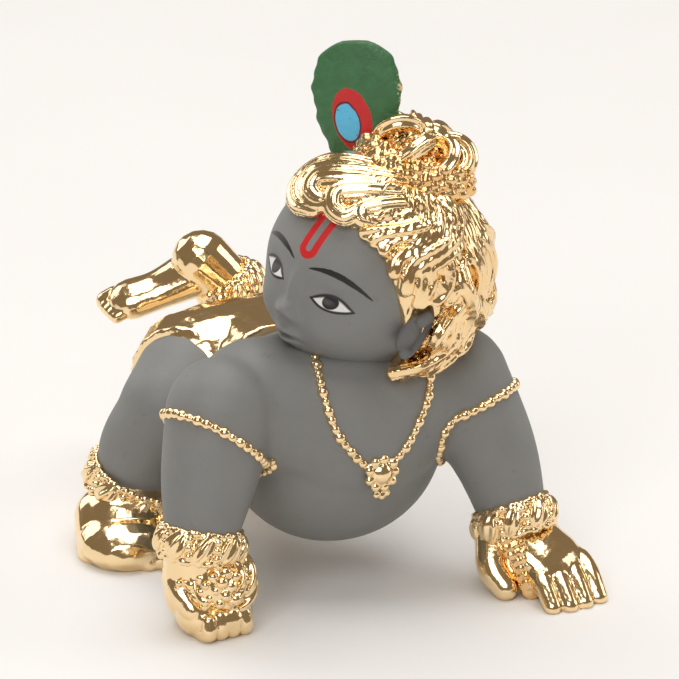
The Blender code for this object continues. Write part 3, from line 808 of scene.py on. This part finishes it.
def shape_hair(clay):
    """Wavy locks over a cap of hair: long locks all round and looser ones over them."""
    half = units("lock") / 2
    clay.cap(HEAD, HAIR_RADIUS, HAIRLINE_NORMAL, HAIRLINE_REACH * HAIR_RADIUS)
    clay.cap(HEAD, HAIR_RADIUS + 0.1, FORWARD, -0.28 * HAIR_RADIUS)
    for i, phi in enumerate(np.linspace(10, 62, 10)):
        low = hairline(phi) - 0.10 * phi + 2 * sin(1.9 * i)
        hair_lock(clay, (20, phi + 30), (low, phi + 4), half * 1.2, wave=6, turns=1.4, phase=0.5 * i,
                  lift=1.1 + 0.3 * sin(1.7 * i), curl=0.2, bend=-4)
    for i, phi in enumerate(np.linspace(60, 258, 21)):
        low = 80 if phi < 84 else 114 if phi > 246 else 136 + 6 * sin(1.3 * i)
        hair_lock(clay, (18, phi + 12), (low, phi + 4), half * (1.08 + 0.10 * sin(1.9 * i)), wave=5,
                  turns=low / 58, phase=0.35 * i, lift=0.7 + 0.5 * (i % 2))
    for i, phi in enumerate(np.linspace(92, 250, 13)):
        hair_lock(clay, (32 + 19 * (i % 3), phi + 4), (124 + 10 * sin(1.7 * i), phi + 5), half * 0.80,
                  wave=8, turns=1.9, phase=1.1 * i, lift=2.0, curl=1.2, bend=8 * sin(2.1 * i))
    for i in range(4):
        hair_lock(clay, (52 + 4 * (i % 2), 66 + 6 * i), (80 + 2 * i, 70 + 5 * i), half * 0.75,
                  wave=6, turns=1.3, phase=1.4 * i, lift=0.9, bend=-6)
    for i in range(4):
        hair_lock(clay, (70 + 8 * i, 92 + 7 * i), (126 + 3 * i, 86 + 7 * i), half * 0.85,
                  wave=6, turns=1.6, phase=1.1 * i, lift=1.3, curl=1.0, bend=-8)


def shape_knot(clay):
    """The topknot: curled loops of hair."""
    clay.ball(KNOT + 0.5 * UP, (5.2, 5.2, 2.6), HEAD_AXES)
    for i, out in enumerate(around(7, FORWARD, SIDE, -27 / 360 * 7)):
        rise = unit(0.85 * UP + 0.5 * np.cross(UP, out))
        centre = KNOT + (3.4 + 0.3 * sin(2.6 * i)) * out + (3.4 if i == 0 else 2.5) * UP
        loop = arc(centre, 2.1, np.radians(range(-150, 151, 30)), out, rise, 1.0)
        clay.limb(loop, up=np.cross(out, rise), flat=0.9, sides=28, ridges=5, depth=0.18)
    for out in around(3, FORWARD, SIDE):
        loop = arc(KNOT + 0.8 * out + 3.0 * UP, 1.7, np.radians(range(-60, 181, 30)), out, UP, 1.0)
        clay.limb(loop, up=np.cross(out, UP), flat=0.9, sides=28, ridges=5, depth=0.15)


def shape_hair_band(clay):
    """The broad band of small beads that the topknot stands in."""
    bead = units("bead") / 2
    clay.ball(KNOT + 0.5 * UP, (5.6, 5.6, 2.9), HEAD_AXES)
    for i, way in enumerate(scattered(90, 0)):
        spot = (way * (5.5, 5.5, 2.9)) @ (FORWARD, SIDE, UP)
        clay.bead(KNOT + 0.5 * UP + spot, bead * (0.85 + 0.2 * sin(3.1 * i)))
    for row, (out, level) in enumerate(((7.1, -0.3), (6.9, 0.5), (6.5, 1.3), (5.9, 2.0))):
        count = int(tau * out / (bead * 1.7))
        for i, across in enumerate(around(count, FORWARD, SIDE, 0.5 * row)):
            spot = (out + 0.15 * sin(3.7 * i)) * across + (level + 0.12 * sin(2.9 * i)) * UP
            clay.bead(KNOT + spot, bead * (1 + 0.15 * sin(2.4 * i + row)))
    hoop = arc(KNOT + 0.3 * UP, 5.9, np.linspace(0, tau, 25), FORWARD, SIDE, 1.2)
    clay.limb(hoop, up=UP, sides=16, round_ends=False)


def feather_half_width(t):
    """Half the feather's width at t of its length, as a share of its greatest half width."""
    swell = 0.50 + 0.50 * sin(pi / 2 * min(1.0, t / 0.6))
    return swell * sqrt(1 - max(0.0, (t - 0.6) / 0.4) ** 2.6)


FEATHER_TURN = radians(42)
FEATHER_NORMAL = unit((-sin(FEATHER_TURN), -cos(FEATHER_TURN), 0.10))
FEATHER_RISE = unit(UPRIGHT - FEATHER_NORMAL * FEATHER_NORMAL[2] - 0.08 * SIDE)
FEATHER_ACROSS = np.cross(FEATHER_RISE, FEATHER_NORMAL)
FEATHER_FOOT = KNOT - 6.3 * FEATHER_ACROSS + 1.0 * FEATHER_NORMAL + 0.2 * FEATHER_RISE


def feather_mesh():
    """The feather: a thin, slightly dished leaf with an uneven edge."""
    clay = Clay()
    length, thick = units("feather_length"), units("feather_thickness")
    rings = []
    for t in np.linspace(0.0, 0.985, 60):
        half = units("feather_width") / 2 * feather_half_width(t)
        half *= 1 + 0.025 * sin(23 * t) + 0.015 * sin(51 * t + 1)
        angles = np.arange(64) / 64 * tau
        centre = FEATHER_FOOT + FEATHER_RISE * length * t + FEATHER_NORMAL * 0.5 * sin(2 * t)
        barbs = 1 + 0.03 * np.sin(np.abs(np.cos(angles)) * 26 + 34 * t)
        rings.append(centre + half * np.cos(angles)[:, None] * FEATHER_ACROSS
                     + (thick / 2 * np.sin(angles) * barbs)[:, None] * FEATHER_NORMAL * min(1.0, half))
    clay.add_rings(rings)
    return clay.mesh("feather")


def feather_paint():
    """Green paint with a red ring round a light blue centre, and gold showing at the edge."""
    finish = Finish("feather_paint")
    step, mix, noise = finish.step, finish.mix, finish.noise
    length = sizes().feather_length * MM
    width = sizes().feather_width / 2 * MM
    foot = on_place(FEATHER_FOOT)
    across = finish.along(foot, FEATHER_ACROSS, width)
    up = finish.along(foot, FEATHER_RISE, length)
    front = step(finish.along(foot, FEATHER_NORMAL), -0.1, 0.1)
    wobble = (noise(0.9, 2) - 0.5) * 0.16
    across = across + wobble * 0.2

    def oval(at_across, at_up, half_across, half_up, lean):
        """One at the rim of an oval patch of paint and less inside it."""
        rise = (up - at_up + wobble * 0.1) / half_up
        aside = (across - at_across) / half_across + rise * lean
        return aside * aside + rise * rise + wobble

    ring = step(oval(-0.10, 0.373, 0.44, 0.250, 0.22), 1.06, 0.94) * front
    dab = step(oval(-0.08, 0.535, 0.24, 0.062, 0.60), 1.1, 0.9) * front
    eye = oval(-0.21, 0.352, 0.27, 0.150, 0.20)
    centre = step(eye, 1.1, 0.9) * front
    edge = step(abs(eye - 1.12), 0.20, 0.06) * ring
    spot = step(noise(1.3, 3), 0.68, 0.72) * centre
    green = np.array(colours().feather)
    colour = mix(noise(0.7, 4, 0.6), green * 0.70, green * 1.35)
    colour = mix(dab, colour, colours().centre)
    colour = mix(ring, colour, colours().ring)
    colour = mix(centre, colour, colours().centre)
    colour = mix(finish.larger(edge, spot) * 0.85, colour, colours().line)
    rim = step(abs(across), 0.84, 1.0) * step(across, 0.0, 0.4)
    bare = step(noise(1.9, 4, 0.7) + rim * 0.22, 0.70, 0.74) * step(rim, 0.02, 0.3)
    colour = mix(bare, colour, colours().gold)
    finish.put(finish.shader.inputs["Metallic"], bare)
    finish.bump(noise(1.4, 4, 0.6), 0.0004, 0.5)
    return finish.done(colour, noise(0.8, 3) * 0.14 + 0.30)


def shape_dhoti(clay):
    """The cloth round the hips, with a rolled waist, folds and a hem round each thigh."""
    more = units("cloth")
    clay.limb([(-2, 25, 19.0, 8.4 + more), (7, 25, 19.0, 8.4 + more)])
    clay.limb([(2.5, 17.0, 18.4, 8.5 + more), (2.5, 24, 18.8, 8.6 + more)], round_ends=False, sides=96,
              ridges=22, depth=0.008)
    for hip, knee in ((HIP_RIGHT, KNEE_RIGHT), (HIP_LEFT, KNEE_LEFT)):
        a, b = np.array(hip), np.array(knee)
        clay.limb([(*a, 7.6 + more), (*(a + (b - a) * 0.42), 7.0 + more)], round_ends=False, sides=96,
                  ridges=18, depth=0.010)


def ring_band(clay, centre, axis, radius, height, thickness, lobes):
    """A bangle: slanting carved lobes between two cords of small beads."""
    axis = unit(axis)
    side = unit(np.cross(axis, (0.3, 1, 0.2)))
    front = np.cross(axis, side)
    hoop = arc(centre, radius - 0.2, np.linspace(0, tau, 33), side, front, thickness * 0.6)
    clay.limb(hoop, up=axis, flat=height * 0.40 / (thickness * 0.6), sides=16, round_ends=False)
    gaps = around(lobes, side, front, 0.5)
    for i, (across, gap) in enumerate(zip(around(lobes, side, front), gaps)):
        slant = unit(axis + 0.55 * np.cross(axis, across))
        level = centre + (radius + thickness * 0.25) * across
        size = height * (0.34 + 0.06 * sin(2.3 * i))
        pod = [(*(level + slant * height * 0.46 * share), size * sqrt(1.08 - share**2))
               for share in (-1.0, -0.8, -0.4, 0.0, 0.4, 0.8, 1.0)]
        clay.limb(pod, up=across, flat=thickness * 0.85 / size, sides=40, ridges=8, depth=0.14)
        for share in (-0.25, 0.0, 0.25):
            clay.bead(centre + (radius + thickness * 0.5) * gap + share * height * axis, thickness * 0.36)
    for level in (-1, 1):
        for i, across in enumerate(around(lobes * 5, side, front, 0.5 * level)):
            offset = level * height * (0.42 + 0.03 * sin(1.9 * i))
            clay.bead(centre + (radius + thickness * 0.30) * across + offset * axis,
                      thickness * (0.36 + 0.06 * sin(2.7 * i)))


# Each bangle's joint, the joint it slides towards, how it leans and its radius
BANGLES = {
    "bangle_right": (WRIST_RIGHT, ELBOW_RIGHT, (0, 0, 0), 4.2),
    "bangle_left": (WRIST_LEFT, ELBOW_LEFT, (0, 0, 0), 4.1),
    "anklet_right": (ANKLE_RIGHT, SHIN_RIGHT, (0.30, -0.15, 0.0), 5.7),
    "anklet_left": (ANKLE_LEFT, SHIN_LEFT, (0, 0, 0), 3.4),
}


def string_beads(clay, tree, guide, size):
    """Beads side by side along guide, each brought onto the body's surface."""
    path = through(guide, 24)
    on_skin = np.array([np.array(tree.find_nearest(Vector(p))[0]) for p in path])
    steps = np.linalg.norm(np.diff(on_skin, axis=0), axis=1)
    run = np.concatenate([[0], np.cumsum(steps)])
    count = int(run[-1] / (size * 0.86))
    for i, distance in enumerate(np.linspace(0, run[-1], count)):
        clay.bead([np.interp(distance, run, on_skin[:, k]) for k in range(3)],
                  size / 2 * (1 + 0.14 * sin(2.4 * i)))


NECKLACE = [(9.0, 5.0, 33.0), (10.4, -5.6, 31.0), (7.2, -12.6, 24.0), (0.8, -14.6, 17.5),
            (-3.8, -12.0, 22.0), (-4.9, -8.2, 28.0), (-3.0, -2.0, 33.0), (0.0, 5.0, 33.0)]


def skin_tree():
    """The body's surface on the drawing grid, for laying strings on it."""
    body = bpy.data.objects["body"].data
    points = [Vector(np.array(vert.co) / grid_unit() + ORIGIN) for vert in body.vertices]
    return BVHTree.FromPolygons(points, [tuple(face.vertices) for face in body.polygons])


def shape_necklace(clay, tree):
    bead = units("bead")
    string_beads(clay, tree, NECKLACE, bead)
    pendant = np.array(tree.find_nearest(Vector((0.8, -14.6, 17.0)))[0])
    clay.ball(pendant, 1.5)
    for out in around(9, np.array((1.8, 0, 0)), 1.8 * UPRIGHT):
        clay.bead(pendant + out + np.array((0, -0.3, 0)), 0.62)
    for i in range(3):
        clay.bead(pendant + np.array((0.7 * (i - 1), -0.2, -2.6 - 0.3 * (i == 1))), 0.5)


def shape_armlets(clay, tree):
    bead = units("bead")
    arms = ((SHOULDER_RIGHT, ELBOW_RIGHT, -0.35), (SHOULDER_LEFT, ELBOW_LEFT, 0.0))
    for shoulder, elbow, tilt in arms:
        a, b = np.array(shoulder), np.array(elbow)
        axis = unit(unit(b - a) + np.array((tilt, 0, 0)))
        out = unit(np.cross(axis, (0, -1, 0)))
        front = np.cross(axis, out)
        middle = a + (b - a) * 0.42
        guide = [middle + 7.5 * turned(spin, out, front) for spin in np.linspace(0, tau, 13)]
        string_beads(clay, tree, guide, bead)


# Operators

class AddPiece:
    """What the operators that add pieces share."""

    bl_options = {"REGISTER", "UNDO"}

    def gold(self, name, voxel, smoothing, shape, *values, keep=0.6, plate="gold_plate"):
        """A piece of gold plate, from a function that adds its shells."""
        clay = Clay()
        shape(clay, *values)
        mesh = clay.fuse(name, voxel, smoothing, keep)
        material = bpy.data.materials.get(plate) or gold_plate(plate)
        place(name, mesh, material, "gold_plate")


class FIGURE_OT_body(AddPiece, bpy.types.Operator):
    """Adds the painted body: trunk, arms and legs"""

    bl_idname = "figure.body"
    bl_label = "Body"

    def execute(self, context):
        clay = Clay()
        shape_body(clay)
        place("body", clay.fuse("body", 0.50, 14), grey_paint(), "grey_paint")
        return {"FINISHED"}


class FIGURE_OT_head(AddPiece, bpy.types.Operator):
    """Adds the painted head with its face and ears"""

    bl_idname = "figure.head"
    bl_label = "Head"

    def execute(self, context):
        place("head", head_mesh(), face_paint(), "grey_paint")
        clay = Clay()
        shape_ears(clay)
        place("ears", clay.fuse("ears", 0.16, 3), bpy.data.materials["grey_paint"], "grey_paint")
        return {"FINISHED"}


class FIGURE_OT_hair(AddPiece, bpy.types.Operator):
    """Adds the hair and the knot on top of it"""

    bl_idname = "figure.hair"
    bl_label = "Hair"

    def execute(self, context):
        self.gold("hair", 0.19, 1, shape_hair, plate="gold_hair")
        self.gold("hair_fringe", 0.14, 1, shape_fringe)
        self.gold("hair_knot", 0.15, 1, shape_knot)
        self.gold("hair_band", 0.14, 1, shape_hair_band, plate="gold_grains")
        return {"FINISHED"}


class FIGURE_OT_feather(AddPiece, bpy.types.Operator):
    """Adds the painted feather"""

    bl_idname = "figure.feather"
    bl_label = "Feather"

    def execute(self, context):
        place("feather", feather_mesh(), feather_paint(), "feather_paint")
        return {"FINISHED"}


class FIGURE_OT_cloth(AddPiece, bpy.types.Operator):
    """Adds the cloth round the hips"""

    bl_idname = "figure.cloth"
    bl_label = "Cloth"

    def execute(self, context):
        self.gold("dhoti", 0.30, 3, shape_dhoti, keep=1.0)
        return {"FINISHED"}


class FIGURE_OT_hands(AddPiece, bpy.types.Operator):
    """Adds both hands, the ornament on the left one and the sweet in the right one"""

    bl_idname = "figure.hands"
    bl_label = "Hands"

    def execute(self, context):
        self.gold("hand_left", 0.16, 5, shape_flat_hand)
        self.gold("hand_left_ornament", 0.12, 1, shape_hand_ornament, plate="gold_grains")
        self.gold("hand_right", 0.13, 3, shape_holding_hand)
        self.gold("sweet", 0.12, 1, shape_sweet)
        return {"FINISHED"}


class FIGURE_OT_feet(AddPiece, bpy.types.Operator):
    """Adds both feet"""

    bl_idname = "figure.feet"
    bl_label = "Feet"

    def execute(self, context):
        self.gold("foot_right", 0.18, 14, shape_standing_foot)
        self.gold("foot_left", 0.16, 5, shape_raised_foot)
        return {"FINISHED"}


class FIGURE_OT_bangles(AddPiece, bpy.types.Operator):
    """Adds the bangles and the anklets"""

    bl_idname = "figure.bangles"
    bl_label = "Bangles"

    def execute(self, context):
        height, thick = units("bangle_height"), units("bangle_thickness")
        for name, (joint, before, tilt, radius) in BANGLES.items():
            axis = unit(np.array(before) - np.array(joint))
            centre = np.array(joint) + axis * 0.4
            self.gold(name, 0.12, 1, ring_band, centre, axis + np.array(tilt), radius, height, thick, 9)
        return {"FINISHED"}


class FIGURE_OT_strings(AddPiece, bpy.types.Operator):
    """Adds the necklace and the armlets, laid on the body"""

    bl_idname = "figure.strings"
    bl_label = "Strings of beads"

    def execute(self, context):
        tree = skin_tree()
        self.gold("necklace", 0.12, 1, shape_necklace, tree)
        self.gold("armlets", 0.12, 1, shape_armlets, tree)
        return {"FINISHED"}


# The camera's place in front of the figure
VIEW_AZIMUTH = radians(-30)
VIEW_HEIGHT = radians(20)
VIEW_DISTANCE = 0.45
VIEW_TARGET = (6.5, 7.5, 27.6)
SENSOR = 36.0
LENS = 8.2 * 450 / 679 * SENSOR

# Each soft box's place, brightness and size, and the glow all round
SOFT_BOXES = {
    "key": ((-0.55, -0.60, 0.75), 2.9, 0.70),
    "fill": ((0.85, -0.30, 0.40), 1.8, 0.50),
    "top": ((0.10, 0.15, 0.95), 2.8, 0.90),
    "back": ((-0.35, 0.90, 0.45), 1.8, 0.60),
}
SKY_COLOUR = (0.50, 0.40, 0.29, 1.0)
SKY_STRENGTH = 0.45


def aim(name, data, at, target):
    """A lamp or a camera at a place, looking at target."""
    obj = add_object(name, data)
    obj.location = at
    obj.rotation_mode = "QUATERNION"
    obj.rotation_quaternion = (Vector(target) - Vector(at)).to_track_quat("-Z", "Y")
    return obj


class FIGURE_OT_stage(bpy.types.Operator):
    """Adds the floor, the soft studio light and the camera"""

    bl_idname = "figure.stage"
    bl_label = "Stage"
    bl_options = {"REGISTER", "UNDO"}

    def floor(self):
        mesh = bpy.data.meshes.new("floor")
        bm = bmesh.new()
        bmesh.ops.create_grid(bm, x_segments=8, y_segments=8, size=2.0)
        bm.to_mesh(mesh)
        bm.free()
        floor = add_object("floor", mesh)
        floor.location.z = CAD_BOX[0][2]
        finish = Finish("floor_board")
        colour = finish.mix(finish.noise(0.02, 3), (0.86, 0.86, 0.86), (0.90, 0.90, 0.90))
        mesh.materials.append(finish.done(colour, finish.noise(0.5, 2) * 0.1 + 0.6))

    def soft_box(self, name, at, brightness, size):
        """A square soft box that looks that bright from the figure."""
        light = bpy.data.lights.new(name, "AREA")
        light.energy = brightness * pi * size * size
        light.size = size
        aim(name, light, at, (0.0, 0.0, 0.03))

    def execute(self, context):
        self.floor()
        for name, box in SOFT_BOXES.items():
            self.soft_box(name, *box)
        world = bpy.data.worlds.new("studio")
        bpy.context.scene.world = world
        world.use_nodes = True
        sky = world.node_tree.nodes["Background"]
        sky.inputs["Color"].default_value = SKY_COLOUR
        sky.inputs["Strength"].default_value = SKY_STRENGTH
        target = Vector(on_place(VIEW_TARGET) / MM)
        back = Vector((sin(VIEW_AZIMUTH) * cos(VIEW_HEIGHT),
                       -cos(VIEW_AZIMUTH) * cos(VIEW_HEIGHT), sin(VIEW_HEIGHT)))
        lens = bpy.data.cameras.new("camera")
        lens.sensor_width = SENSOR
        lens.lens = LENS
        lens.clip_start = 0.01
        bpy.context.scene.camera = aim("camera", lens, target + back * VIEW_DISTANCE, target)
        bpy.context.scene.view_settings.view_transform = "Standard"
        return {"FINISHED"}


OPERATORS = (FIGURE_OT_body, FIGURE_OT_head, FIGURE_OT_hair, FIGURE_OT_feather, FIGURE_OT_cloth,
             FIGURE_OT_hands, FIGURE_OT_feet, FIGURE_OT_bangles, FIGURE_OT_strings, FIGURE_OT_stage)


class FIGURE_PT_sidebar(bpy.types.Panel):
    """The figure's sizes, colours and pieces"""

    bl_label = "Crawling figure"
    bl_idname = "FIGURE_PT_sidebar"
    bl_space_type = "VIEW_3D"
    bl_region_type = "UI"
    bl_category = "Figure"

    def draw(self, context):
        layout = self.layout
        for title, group in (("Sizes", sizes()), ("Colours", colours())):
            box = layout.box()
            box.label(text=title)
            for name in group.__annotations__:
                box.prop(group, name)
        for operator in OPERATORS:
            layout.operator(operator.bl_idname)


CLASSES = (FigureSizes, FigureColours, *OPERATORS, FIGURE_PT_sidebar)


def register():
    for cls in CLASSES:
        bpy.utils.register_class(cls)
    bpy.types.Scene.figure_sizes = bpy.props.PointerProperty(type=FigureSizes)
    bpy.types.Scene.figure_colours = bpy.props.PointerProperty(type=FigureColours)


def unregister():
    del bpy.types.Scene.figure_colours
    del bpy.types.Scene.figure_sizes
    for cls in reversed(CLASSES):
        bpy.utils.unregister_class(cls)


def main():
    register()
    bpy.ops.figure.body()
    bpy.ops.figure.head()
    bpy.ops.figure.hair()
    bpy.ops.figure.feather()
    bpy.ops.figure.cloth()
    bpy.ops.figure.hands()
    bpy.ops.figure.feet()
    bpy.ops.figure.bangles()
    bpy.ops.figure.strings()
    bpy.ops.figure.stage()


if __name__ == "__main__":
    main()
